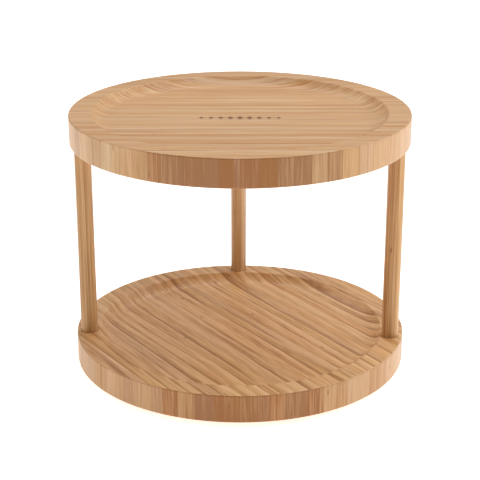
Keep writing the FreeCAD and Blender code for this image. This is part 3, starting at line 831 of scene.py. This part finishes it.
@dataclass
class Tray:
    """A round bamboo board with a dished top.

    Attributes:
        node: CAD node that the tray stands for.
        name: Name of the piece.
        face: Finish of the board's faces.
        edge: Finish of the band around its edge.
        rim: Flat width around the dish, up to its sharp corner.
        dish_depth: Depth of the dish.
        cove: Radius of the hollow at the foot of the dish's wall.
        cove_steps: Steps around the hollow.
        lip: Rounding of the rim's inner corner.
        lip_steps: Steps around it.
        margin: Flat width kept beside the dish's curves.
        ease: Rounding of the outer edges.
        ease_steps: Steps around it.
        socket_radius: Radius of a post's socket.
        mouth: Easing of its mouth.
        sides: How many sides the tray has.
    """

    node: str
    name: str
    face: BambooFinish
    edge: BambooFinish
    rim: float = 17 * MM
    dish_depth: float = 6.35 * MM
    cove: float = 14.5 * MM
    cove_steps: int = 12
    lip: float = 1.5 * MM
    lip_steps: int = 6
    margin: float = 2 * MM
    ease: float = 1.2 * MM
    ease_steps: int = 5
    socket_radius: float = 6.45 * MM
    mouth: float = 0.4 * MM
    sides: int = 192
    piece: Workpiece = field(init=False)

    def build(self) -> None:
        """Models the tray, and ties it to the turntable."""
        low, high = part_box(self.node)
        self.piece = Workpiece.billet(self.name, high.x, low.z, high.z, self.sides)
        self.dish(high.x, high.z)
        self.ease_edges(high.x, low.z, high.z)
        self.cut_holes()
        obj = self.piece.finish()
        finishes = [self.face.material(), self.edge.material()]
        dress(obj, finishes, "turntable", self.node)
        self.paint_edge(obj, high.x)

    def dish(self, radius: float, top: float) -> None:
        """Sinks the dish into the top face.

        Args:
            radius: The tray's outer radius.
            top: Height of its rim.
        """
        floor = top - self.dish_depth
        fall = math.acos((self.cove - self.dish_depth) / self.cove)
        floor_end = radius - self.rim - self.cove * math.sin(fall)
        cove_centre = (floor_end, floor + self.cove)
        rise = cove_centre[1] - (top - self.lip)
        run = math.sqrt((self.cove + self.lip) ** 2 - rise**2)
        lip_centre = (floor_end + run, top - self.lip)
        tilt = math.atan2(rise, run)
        profile = [(radius, top), (lip_centre[0] + self.margin, top)]
        profile += arc(lip_centre, self.lip, math.pi / 2, math.pi - tilt, self.lip_steps)
        profile += arc(cove_centre, self.cove, -tilt, -math.pi / 2, self.cove_steps)[1:]
        profile += [(floor_end - self.margin, floor), (floor_end / 2, floor)]
        self.piece.pick("faces", lambda centre, normal: normal.z > LEVEL)
        self.piece.step_in(profile)
        self.piece.done()

    def ease_edges(self, radius: float, low: float, high: float) -> None:
        """Rounds the two outer edges.

        Args:
            radius: The tray's outer radius.
            low: Height of its underside.
            high: Height of its rim.
        """

        def outer(a: Vector, b: Vector) -> bool:
            """Whether an edge lies on an outer corner of the board."""
            level = any(abs(a.z - z) < TINY and abs(b.z - z) < TINY for z in (low, high))
            return level and min(a.xy.length, b.xy.length) > radius - 10 * TINY

        self.piece.pick("edges", outer)
        self.piece.round_over(self.ease, self.ease_steps)

    def socket(self, post: str, face: float, seat: float) -> Workpiece:
        """Shapes the cutter of a post's socket, and leaves its inner end picked.

        Args:
            post: Name of the post.
            face: Height of the tray's face at the socket's mouth.
            seat: Height of the post's end inside the tray.

        Returns:
            The cutter, still in edit mode.
        """
        inwards = math.copysign(1.0, seat - face)
        wide = self.socket_radius + self.mouth
        low, high = sorted((face, face - inwards * MM))
        hole = Workpiece.billet("socket", wide, low, high, SOCKET_SIDES, middle(f"post_{post}"))
        hole.pick("faces", lambda centre, normal: inwards * normal.z > LEVEL)
        throat = face + inwards * self.mouth
        hole.step_in([(wide, face), (self.socket_radius, throat)])
        hole.extrude(seat - throat)
        return hole

    def cut_holes(self) -> None:
        """Cuts the holes of this tray."""
        raise NotImplementedError

    def paint_edge(self, obj: bpy.types.Object, radius: float) -> None:
        """Gives the band around the board its own material slot.

        Args:
            obj: The finished tray.
            radius: Its outer radius.
        """
        for face in obj.data.polygons:
            steep = abs(face.normal.z) < STEEP and face.center.xy.length > radius - self.ease
            face.material_index = 1 if steep else 0


@dataclass
class UpperTray(Tray):
    """The upper tray, with a socket and an insert bore above each post.

    Attributes:
        bore_radius: Radius of an insert bore.
        bore_end: How far the bore goes on above the insert.
    """

    bore_radius: float = 4.05 * MM
    bore_end: float = 0.8 * MM

    def cut_holes(self) -> None:
        """Cuts the sockets and the insert bores from below."""
        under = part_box(self.node)[0].z
        cutters = []
        for post in POSTS:
            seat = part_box(f"post_{post}")[1].z
            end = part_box(f"post_insert_{post}")[1].z + self.bore_end
            hole = self.socket(post, under, seat)
            hole.step_in([(self.socket_radius, seat), (self.bore_radius, seat)])
            hole.extrude(end - seat)
            hole.done()
            cutters.append(hole)
        self.piece.cut(cutters)


@dataclass
class LowerTray(Tray):
    """The lower tray, with post sockets, screw holes and the recess of the race.

    Attributes:
        screw_radius: Radius of a post screw's hole.
        head_radius: Radius of its countersink.
        recess: Radius of the recess, and of the rings that divide its ceiling.
        pilot_circle: Radius of the circle of pilot holes.
        pilot_radius: Radius of a pilot hole.
        pilot_end: How far a pilot hole goes on above its screw.
    """

    screw_radius: float = 2.2 * MM
    head_radius: float = 4.2 * MM
    recess: tuple[float, float, float] = (86 * MM, 60 * MM, 30 * MM)
    pilot_circle: float = 45.5 * MM
    pilot_radius: float = 1.8 * MM
    pilot_end: float = 0.4 * MM

    def cut_holes(self) -> None:
        """Sinks the recess, and cuts the sockets and the screw holes."""
        low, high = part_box(self.node)
        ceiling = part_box("inner_race")[1].z
        radius = high.x - self.ease
        self.piece.pick("faces", lambda c, normal: normal.z < -LEVEL and c.xy.length < MM)
        self.piece.step_in([(radius, low.z), (self.recess[0], low.z)])
        self.piece.extrude(ceiling - low.z)
        self.piece.step_in([(r, ceiling) for r in self.recess])
        self.piece.done()
        holes = [self.post_hole(post, low.z, high.z) for post in POSTS]
        self.piece.cut(holes + self.pilots(ceiling))

    def post_hole(self, post: str, low: float, high: float) -> Workpiece:
        """Shapes the cutter of a post's socket and its countersunk screw hole.

        Args:
            post: Name of the post.
            low: Height of the tray's underside.
            high: Height of its rim.

        Returns:
            The cutter.
        """
        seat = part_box(f"post_{post}")[0].z
        hole = self.socket(post, high, seat)
        hole.step_in([(self.socket_radius, seat), (self.screw_radius, seat)])
        hole.extrude(low + self.head_radius - self.screw_radius - seat)
        hole.countersink(self.screw_radius, self.head_radius, middle(f"post_{post}"), low)
        return hole

    def pilots(self, ceiling: float) -> list[Workpiece]:
        """Shapes the cutters of the pilot holes above the inner race.

        Args:
            ceiling: Height of the recess's ceiling.

        Returns:
            One cutter for each screw of the race.
        """
        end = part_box("tray_screws")[1].z + self.pilot_end
        return [
            Workpiece.billet("pilot", self.pilot_radius, ceiling - MM, end, PILOT_SIDES, centre)
            for centre in ring(self.pilot_circle, SCREWS)
        ]


# ---- posts, base and feet


@dataclass
class Posts:
    """The round posts between the trays, modelled once and copied.

    Attributes:
        finishes: Finish of each post, by its name.
        ease: Rounding of the ends.
        ease_steps: Steps around it.
        screw_bore: Radius and depth of the pilot hole in the lower end.
        stud_bore: Radius and depth of the bore in the upper end.
        sides: How many sides the posts have.
    """

    finishes: dict[str, BambooFinish]
    ease: float = 0.6 * MM
    ease_steps: int = 3
    screw_bore: Pair = (2.05 * MM, 27.6 * MM)
    stud_bore: Pair = (2.55 * MM, 24.8 * MM)
    sides: int = 72

    def build(self) -> None:
        """Models one post, copies it to each place, and dresses each copy."""
        low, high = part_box("post_back")
        radius = (high.x - low.x) / 2
        piece = Workpiece.billet("post", radius, low.z, high.z, self.sides)
        piece.pick("edges", lambda a, b: abs(a.z - b.z) < TINY)
        piece.round_over(self.ease, self.ease_steps)
        bottom, top = low.z + self.screw_bore[1], high.z - self.stud_bore[1]
        piece.cut(
            [
                Workpiece.billet("bore", self.screw_bore[0], low.z - MM, bottom, SCREW_SIDES),
                Workpiece.billet("bore", self.stud_bore[0], top, high.z + MM, SCREW_SIDES),
            ]
        )
        piece.finish()
        for post in POSTS:
            twin = piece.copy(f"dowel_{post}", middle(f"post_{post}"))
            material = self.finishes[post].material()
            dress(twin, [material], "turntable", f"post_{post}")
        bpy.data.meshes.remove(piece.obj.data)


@dataclass
class BaseRing:
    """The bamboo ring that the turntable stands on.

    Attributes:
        finish: Finish of the wood.
        bore: Radius of the ring's opening.
        ease: Rounding of its edges.
        ease_steps: Steps around it.
        seat_radius: Radius of a foot's seat.
        seat_depth: Depth of a foot's seat.
        screw_circle: Radius of the circle of screws.
        screw_start: Angle of the first screw, in degrees.
        screw_radius: Radius of a screw hole.
        head_radius: Radius of its countersink.
        sides: How many sides the ring has.
    """

    finish: BambooFinish
    bore: float = 51.5 * MM
    ease: float = 0.8 * MM
    ease_steps: int = 3
    seat_radius: float = 6.2 * MM
    seat_depth: float = 0.5 * MM
    screw_circle: float = 58.5 * MM
    screw_start: float = 30.0
    screw_radius: float = 2.2 * MM
    head_radius: float = 4.0 * MM
    sides: int = 144

    def build(self) -> None:
        """Models the ring, and ties it to the base."""
        low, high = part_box("base_ring")
        piece = Workpiece.billet("base_board", high.x, low.z, high.z, self.sides)
        piece.pick("faces", lambda centre, normal: abs(normal.z) > LEVEL)
        width = (high.x - self.bore) * math.cos(math.pi / self.sides)
        bpy.ops.mesh.inset(thickness=width, use_even_offset=True)
        bpy.ops.mesh.bridge_edge_loops()
        piece.done()
        piece.pick("edges", lambda a, b: self.on_corner(a, b, high.x))
        piece.round_over(self.ease, self.ease_steps)
        piece.cut(self.foot_seats(low.z) + self.screw_holes(low.z, high.z))
        obj = piece.finish()
        dress(obj, [self.finish.material()], "base", "base_ring")

    def on_corner(self, a: Vector, b: Vector, radius: float) -> bool:
        """Whether a level edge runs around the ring's outer side or its bore."""
        around = abs(a.z - b.z) < TINY and abs(a.xy.length - b.xy.length) < TINY
        return around and any(abs(a.xy.length - r) < MM / 10 for r in (radius, self.bore))

    def foot_seats(self, low: float) -> list[Workpiece]:
        """Shapes the cutters of the shallow seats under the ring.

        Args:
            low: Height of the ring's underside.

        Returns:
            One cutter for each foot.
        """
        span = (low - MM, low + self.seat_depth)
        return [
            Workpiece.billet("seat", self.seat_radius, *span, SOCKET_SIDES, middle(f"foot_{i}"))
            for i in range(1, FEET + 1)
        ]

    def screw_holes(self, low: float, high: float) -> list[Workpiece]:
        """Shapes the cutters of the countersunk screw holes.

        Args:
            low: Height of the ring's underside.
            high: Height of its top.

        Returns:
            One cutter for each screw.
        """
        sink = low + self.head_radius - self.screw_radius
        cutters = []
        for place in ring(self.screw_circle, SCREWS, math.radians(self.screw_start)):
            hole = Workpiece.billet("hole", self.screw_radius, sink, high + MM, SCREW_SIDES, place)
            hole.pick("faces", lambda centre, normal: normal.z < -LEVEL)
            hole.countersink(self.screw_radius, self.head_radius, place, low)
            cutters.append(hole)
        return cutters


@dataclass
class Feet:
    """The rubber feet, modelled once and copied.

    Attributes:
        finish: Finish of the rubber.
        ease: Rounding of the lower edge.
        ease_steps: Steps around it.
        stand: Width of the ring that the foot stands on.
        hollow: Depth of the hollow inside that ring.
        slope: Width of the slope into the hollow.
        crown: Share of the depth that is reached halfway down the slope.
        hub: Radius of the flat in the middle of the hollow.
        sides: How many sides a foot has.
    """

    finish: MouldedFinish
    ease: float = 0.8 * MM
    ease_steps: int = 4
    stand: float = 2.4 * MM
    hollow: float = 0.5 * MM
    slope: float = 1.0 * MM
    crown: float = 0.7
    hub: float = 1.0 * MM
    sides: int = 48

    def build(self) -> None:
        """Models one foot, copies it to each seat, and dresses each copy."""
        low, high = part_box("foot_1")
        radius = (high.x - low.x) / 2
        piece = Workpiece.billet("foot", radius, 0.0, high.z, self.sides)
        piece.pick("edges", lambda a, b: a.z < TINY and b.z < TINY)
        piece.round_over(self.ease, self.ease_steps)
        piece.pick("faces", lambda centre, normal: centre.xy.length < TINY and centre.z < MM)
        brink = radius - self.stand
        profile = [(radius - self.ease, 0.0), (brink, 0.0)]
        profile += [(brink - self.slope / 2, self.crown * self.hollow)]
        profile += [(brink - self.slope, self.hollow), (self.hub, self.hollow)]
        piece.step_in(profile)
        piece.done()
        piece.finish()
        material = self.finish.material()
        for i in range(1, FEET + 1):
            twin = piece.copy(f"rubber_foot_{i}", middle(f"foot_{i}"))
            dress(twin, [material], "base", f"foot_{i}")
        bpy.data.meshes.remove(piece.obj.data)


# ---- hardware


@dataclass
class Hardware:
    """The metal and nylon nodes, which keep their CAD shape.

    Attributes:
        finishes: Finish of each group of nodes, by the start of their names.
    """

    finishes: dict[str, MetalFinish | MouldedFinish]

    def build(self) -> None:
        """Gives each node the finish of its group."""
        for start, finish in self.finishes.items():
            material = finish.material()
            for name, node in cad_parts.items():
                if name.startswith(start):
                    node.data.materials.clear()
                    node.data.materials.append(material)
                    LOG.info("%s: %s", name, finish.name)


# ---- studio


@dataclass(frozen=True)
class SoftBox:
    """A soft area light that faces a point.

    Attributes:
        name: Name of the light.
        place: Where it hangs.
        size: Width and height of its face.
        power: Power in watts.
        aim: Point that it faces.
    """

    name: str
    place: tuple[float, float, float]
    size: Pair
    power: float
    aim: tuple[float, float, float] = (0.0, 0.0, 0.1)

    def hang(self) -> None:
        """Adds the light to the scene."""
        bpy.ops.object.select_all(action="DESELECT")
        bpy.ops.object.light_add(type="AREA", location=self.place)
        lamp = bpy.context.active_object
        lamp.name = lamp.data.name = self.name
        lamp.data.shape = "RECTANGLE"
        lamp.data.size, lamp.data.size_y = self.size
        lamp.data.energy = self.power
        direction = Vector(self.aim) - Vector(self.place)
        lamp.rotation_euler = direction.to_track_quat("-Z", "Y").to_euler()


@dataclass
class Studio:
    """Pale floor, soft light and camera.

    Attributes:
        lights: The soft boxes.
        ambient: Strength of the light from all round.
        floor_size: Side of the floor.
        floor_drop: How far the floor lies below the feet, so that they don't share a plane.
        floor_shades: Colours of the floor's faint flecks.
        floor_roughness: Roughness of the floor.
        floor_shine: Weight of its reflections.
        floor_glow: Strength of the floor's own light around the turntable.
        glow_reach: Distances at which the glow starts to grow and reaches its full strength.
        camera_place: Where the camera stands.
        camera_pitch: How far it looks down, in degrees.
        lens: Its focal length, in millimetres.
        sensor: Width of its sensor, in millimetres.
    """

    lights: Sequence[SoftBox]
    ambient: float = 0.24
    floor_size: float = 60.0
    floor_drop: float = 0.05 * MM
    floor_shades: tuple[str, str] = ("F6F5F4", "FBFAFA")
    floor_roughness: float = 0.9
    floor_shine: float = 0.1
    floor_glow: float = 0.66
    glow_reach: Pair = (1.6, 3.2)
    camera_place: tuple[float, float, float] = (0.0, -0.9743, 0.4508)
    camera_pitch: float = 20.07
    lens: float = 101.2
    sensor: float = 36.0

    def build(self) -> None:
        """Sets up the studio."""
        self.lay_floor()
        self.light_up()
        self.set_camera()

    def lay_floor(self) -> None:
        """Lays the floor at the height of the table."""
        bpy.ops.object.select_all(action="DESELECT")
        place = (0.0, 0.0, -self.floor_drop)
        bpy.ops.mesh.primitive_plane_add(size=self.floor_size, location=place)
        floor = bpy.context.active_object
        floor.name = floor.data.name = "floor"
        # A white acrylic light table: matt, and glowing a little, so shadows stay faint.
        # Away from the lamps it glows more, so that it is as white there as close by.
        material, tree, surface = new_tree("floor_acrylic")
        place = add_node(tree, "TexCoord").outputs["Object"]
        fleck = add_node(tree, "TexNoise", {"Vector": place, "Scale": 3.0, "Detail": 2.0})
        pale, paler = (linear(c) for c in self.floor_shades)
        colour = add_node(tree, "MixRGB", {0: fleck, 1: pale, 2: paler})
        far = add_node(tree, "VectorMath", {0: place}, operation="LENGTH").outputs["Value"]
        near, end = self.glow_reach
        reach = {0: far, 1: near, 2: end, 3: self.floor_glow, 4: 1.0}
        glow = add_node(tree, "MapRange", reach)
        tree.links.new(colour.outputs[0], surface.inputs["Base Color"])
        tree.links.new(glow.outputs[0], surface.inputs["Emission Strength"])
        surface.inputs["Roughness"].default_value = self.floor_roughness
        surface.inputs["Specular IOR Level"].default_value = self.floor_shine
        surface.inputs["Emission Color"].default_value = WHITE
        floor.data.materials.append(material)

    def light_up(self) -> None:
        """Hangs the soft boxes and sets the light from all round."""
        for light in self.lights:
            light.hang()
        world = bpy.data.worlds.new("studio")
        bpy.context.scene.world = world
        world.use_nodes = True
        background = world.node_tree.nodes["Background"]
        background.inputs["Color"].default_value = WHITE
        background.inputs["Strength"].default_value = self.ambient
        bpy.context.scene.view_settings.view_transform = "Standard"

    def set_camera(self) -> None:
        """Adds the camera and makes it the scene's own."""
        bpy.ops.object.select_all(action="DESELECT")
        tilt = math.radians(90 - self.camera_pitch)
        bpy.ops.object.camera_add(location=self.camera_place, rotation=(tilt, 0.0, 0.0))
        camera = bpy.context.active_object
        camera.name = camera.data.name = "camera"
        camera.data.sensor_width = self.sensor
        camera.data.lens = self.lens
        bpy.context.scene.camera = camera


# ---- the whole turntable


def make_trays() -> list[Tray]:
    """Describes the two trays.

    Returns:
        The upper and the lower tray.
    """
    # Narrow strips, close in tone, sanded smooth: the board looks pale, even and satin.
    upper_face = BambooFinish(
        "upper_bamboo_sanded_satin",
        Lay.FLAT,
        centre=(0.3, 0.21, 0.0),
        lean=0.15,
        ornament=BurntRow(),
    )
    # Wider strips with strong fibres run at a slant, with darker lines between them.
    lower_face = BambooFinish(
        "lower_bamboo_sanded_satin",
        Lay.FLAT,
        turn=math.radians(-56),
        centre=(0.1, 0.43, 0.0),
        strip=9 * MM,
        wander=3 * MM,
        wander_length=260 * MM,
        lean=0.4,
        band=3.4 * MM,
        fibre=0.6 * MM,
        fibre_length=16 * MM,
        shares=(0.25, 0.35, 0.45, 0.5),
        shades=("A47344", "C59A69", "D7AE7E", "E5C195"),
        seam="7E4A24",
        seam_width=1.5 * MM,
        seam_strength=0.75,
        marks=0.02,
    )
    # Around the edge the strips are upright bars, muted in tone, with shade painted in that makes
    # them browner at the front.
    edge = dict(
        lay=Lay.BAND,
        strip=12 * MM,
        wander=5.0 * MM,
        wander_length=500 * MM,
        band=2.4 * MM,
        fibre_length=25 * MM,
        shades=("9A6331", "B78857", "C69B6C", "D3B085"),
        shares=(0.3, 0.0, 0.2, 0.36),
        seam="85502A",
        seam_width=0.6 * MM,
        seam_strength=0.6,
        marks=0.08,
        front_painted_shade=0.4,
    )
    upper_edge = BambooFinish("upper_edge_bamboo_satin", centre=(5.81, 0.0, 0.0), **edge)
    lower_edge = BambooFinish("lower_edge_bamboo_satin", centre=(4.33, 0.0, 0.0), **edge)
    return [
        UpperTray("upper_tray", "upper_board", upper_face, upper_edge),
        LowerTray("lower_tray", "lower_board", lower_face, lower_edge),
    ]


def make_posts() -> Posts:
    """Describes the posts.

    Returns:
        The posts, each with its own cut of bamboo.
    """
    finishes = {}
    # A turned dowel shows two or three long strips, some much darker, under a thin lacquer.
    # Each is cut from its own place in the stock, a number of steps across and along it.
    step_across, step_along = 18 * MM, 0.37
    for post, cut in (("back", 0), ("left", 19), ("right", 15)):
        x, y = middle(f"post_{post}")
        finishes[post] = BambooFinish(
            f"post_{post}_bamboo_satin",
            Lay.POLE,
            centre=(x - step_across * cut, y, step_along * cut),
            strip=6.5 * MM,
            wander=0.8 * MM,
            wander_length=300 * MM,
            band=1.8 * MM,
            fibre_length=60 * MM,
            shades=("956230", "BD8E5A", "D5AE7D", "E6C89D"),
            shares=(0.5, 0.15, 0.22, 0.35),
            seam="7E4A24",
            seam_width=0.7 * MM,
            seam_strength=0.8,
            marks=0.02,
            coat=0.08,
        )
    return Posts(finishes)


def make_base() -> BaseRing:
    """Describes the base ring.

    Returns:
        The base ring, its grain at an angle to the tray's.
    """
    # A plainer grade of bamboo: medium brown strips, a little duller than the trays.
    finish = BambooFinish(
        "base_bamboo_thin_lacquer",
        Lay.FLAT,
        turn=math.radians(20),
        centre=(0.7, 0.3, 0.0),
        strip=8 * MM,
        shades=("A3754A", "BE9161", "CB9E6E", "DBB182"),
        coat=0.2,
    )
    return BaseRing(finish)


def make_feet() -> Feet:
    """Describes the feet.

    Returns:
        The feet.
    """
    # Moulded black rubber is matt, with a faint bloom.
    black = ("1B1A19", "2A2928")
    return Feet(MouldedFinish("rubber_black_moulded", black, (0.6, 0.8), 0.3 * MM, 1.52))


def make_hardware() -> Hardware:
    """Describes the finishes of the metal and nylon nodes.

    Returns:
        The hardware.
    """
    # Zinc plating is bright with a faint blue cast, a little uneven from the bath.
    zinc = MetalFinish("steel_zinc_plated", ("9EA2A8", "C4C7CB"), (0.28, 0.42), 1.2 * MM)
    # The lathe leaves fine rings under a thin clear oxide, drawn coarser so that they show.
    turned = (("A9ACAF", "CDD0D2"), (0.3, 0.46), 0.6 * MM, True)
    # Hardened balls are ground and lapped, and carry a film of grease.
    lapped = MetalFinish("bearing_steel_lapped", ("8E9093", "B9BBBE"), (0.08, 0.2), 1.5 * MM)
    # Natural nylon is creamy and slightly waxy.
    cream = ("DAD6C6", "EDEADC")
    nylon = MouldedFinish("nylon_natural_moulded", cream, (0.38, 0.5), 0.4 * MM, 1.53)
    # Black oxide leaves machined steel dark and soft in shine.
    black = MetalFinish("steel_black_oxide", ("2B2C2E", "47494B"), (0.35, 0.5), 0.8 * MM)
    # Free-cutting brass from the lathe, faintly tarnished.
    brass = MetalFinish("brass_machined", ("A8823F", "D0AB62"), (0.25, 0.4), 0.9 * MM)
    return Hardware(
        {
            "outer_race": MetalFinish("outer_race_aluminium_turned", *turned),
            "inner_race": MetalFinish("inner_race_aluminium_turned", *turned),
            "race_balls": lapped,
            "ball_cage": nylon,
            "ball_plug": black,
            "base_screws": zinc,
            "tray_screws": zinc,
            "post_screw": zinc,
            "post_stud": zinc,
            "post_insert": brass,
        }
    )


def make_studio() -> Studio:
    """Describes the floor, lights and camera.

    Returns:
        The studio.
    """
    return Studio(
        [
            SoftBox("top_box", (0.6, -0.3, 2.1), (2.0, 2.0), 26.0),
            SoftBox("left_box", (-1.9, 0.1, 0.9), (2.2, 1.0), 13.0),
            SoftBox("right_box", (2.1, 0.6, 1.0), (2.4, 1.0), 22.5),
            SoftBox("backdrop_box", (0.0, 2.6, 2.6), (4.0, 1.5), 50.0, (0.0, 3.0, 0.0)),
        ]
    )


def main() -> None:
    """Builds every piece in order, then the studio."""
    logging.basicConfig(level=logging.INFO, format="%(name)s: %(message)s")
    for tray in make_trays():
        tray.build()
    for group in (make_posts(), make_base(), make_feet(), make_hardware(), make_studio()):
        group.build()


if __name__ == "__main__":
    main()
